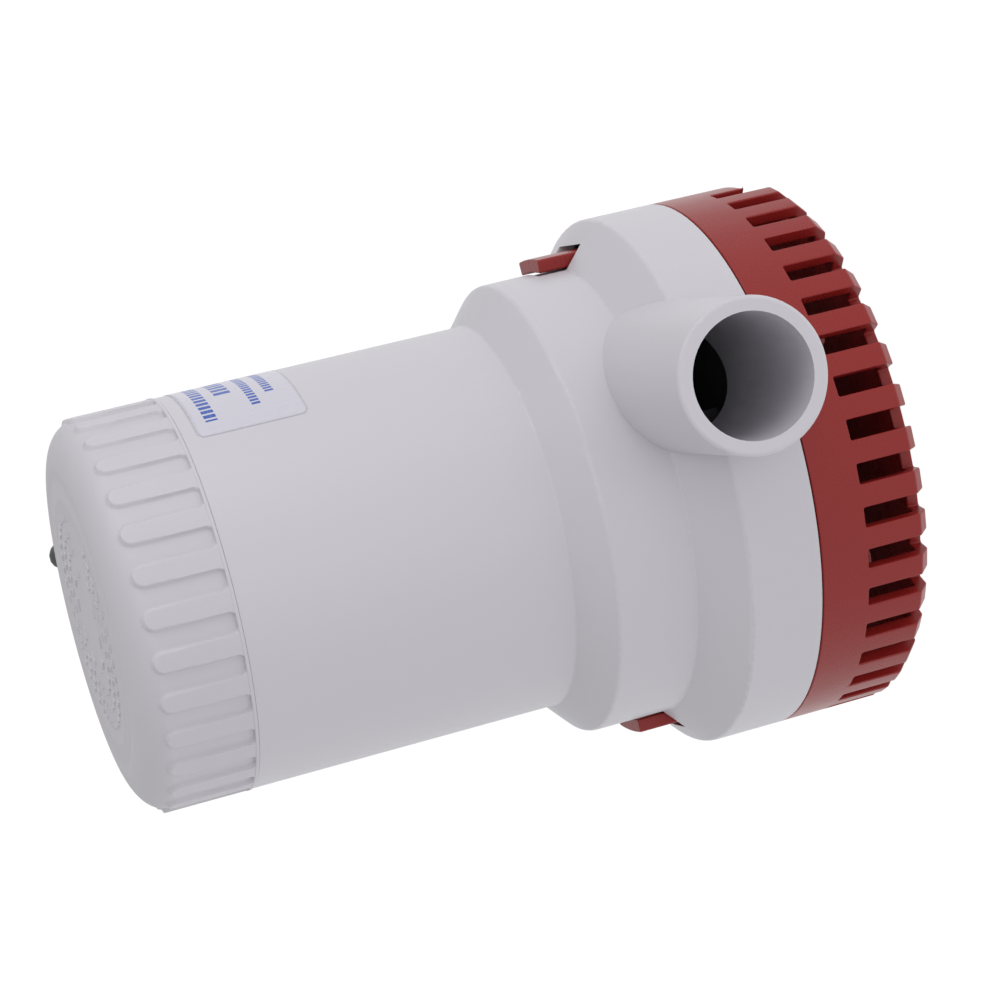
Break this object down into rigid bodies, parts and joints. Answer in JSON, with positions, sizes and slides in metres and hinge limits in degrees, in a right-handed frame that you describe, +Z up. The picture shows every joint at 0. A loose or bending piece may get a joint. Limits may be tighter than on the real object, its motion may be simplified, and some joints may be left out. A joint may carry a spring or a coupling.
{
  "type": "bilge pump",
  "caption": "Submersible boat bilge pump: motor and impeller in a stepped housing with a side hose spigot, on a slotted clip-on strainer base, with a coiled supply cable.",
  "frame": {"origin": "on the motor shaft's axis, in the plane of the strainer base's underside, where the pump stands", "axes": "+Z up along the motor shaft, -Y the way the outlet spigot points, +X the side the outlet is offset to"},
  "size_m": [0.108, 0.2172, 0.152],
  "materials": {
    "white_plastic": "satin gloss moulded plastic",
    "cap_plastic": "fine matt moulded plastic",
    "red_plastic": "gloss moulded plastic",
    "grey_plastic": "glass filled moulded plastic",
    "capacitor_case": "moulded case",
    "stainless": "turned stainless steel",
    "black_rubber": "moulded rubber",
    "cable_sheath": "satin cable sheath",
    "nylon": "nylon",
    "red_wire": "wire insulation",
    "black_wire": "wire insulation",
    "label_film": "clear film",
    "motor_steel": "zinc plated steel",
    "ferrite": "sintered ferrite",
    "carbon": "pressed carbon",
    "bronze": "sintered bronze or brass strip",
    "copper": "enamelled copper"
  },
  "bodies": {
    "strainer": {"strainer_base": "red_plastic"},
    "latch_right": {"latch_arm_right": "red_plastic"},
    "latch_left": {"latch_arm_left": "red_plastic"},
    "pump": {"pump_housing": "white_plastic", "end_cap": "cap_plastic", "volute_cover": "grey_plastic", "cover_screws": "stainless", "cap_seal_ring": "black_rubber", "rating_label": "label_film", "cable_gland": "black_rubber", "power_cable": "cable_sheath", "cable_coil": "cable_sheath", "cable_tie": "nylon", "positive_lead": "red_wire", "negative_lead": "black_wire", "shaft_seal": "black_rubber", "seal_spring": "stainless", "seal_retainer": "stainless", "drive_end_plate": "motor_steel", "lower_bearing": "bronze", "motor_can": "motor_steel", "magnet_right": "ferrite", "magnet_left": "ferrite", "brush_end_plate": "grey_plastic", "upper_bearing": "bronze", "brush_holders": "bronze", "brush_right": "carbon", "brush_left": "carbon", "brush_springs": "stainless", "suppression_chokes": "ferrite", "suppression_capacitor": "capacitor_case", "motor_bolts": "stainless", "inner_lead_red": "red_wire", "inner_lead_black": "black_wire"},
    "rotor": {"motor_shaft": "stainless", "armature_core": "motor_steel", "armature_windings": "copper", "commutator": "copper", "thrust_washers": "nylon", "impeller": "grey_plastic", "impeller_nut": "stainless"}
  },
  "joints": [
    {"name": "pump_lift", "type": "slide", "parent": "strainer", "child": "pump", "axis": [0, 0, 1], "range_m": [0, 0.03]},
    {"name": "rotor_spin", "type": "hinge", "parent": "pump", "child": "rotor", "pos_m": [0, 0, 0.0383], "axis": [0, 0, 1], "continuous": true},
    {"name": "latch_right_squeeze", "type": "hinge", "parent": "strainer", "child": "latch_right", "pos_m": [0.04735, 0, 0.015], "axis": [0, -1, 0], "range_deg": [0, 1.6], "stiffness_Nm_per_rad": 2},
    {"name": "latch_left_squeeze", "type": "hinge", "parent": "strainer", "child": "latch_left", "pos_m": [-0.04735, 0, 0.015], "axis": [0, 1, 0], "range_deg": [0, 1.6], "stiffness_Nm_per_rad": 2}
  ]
}
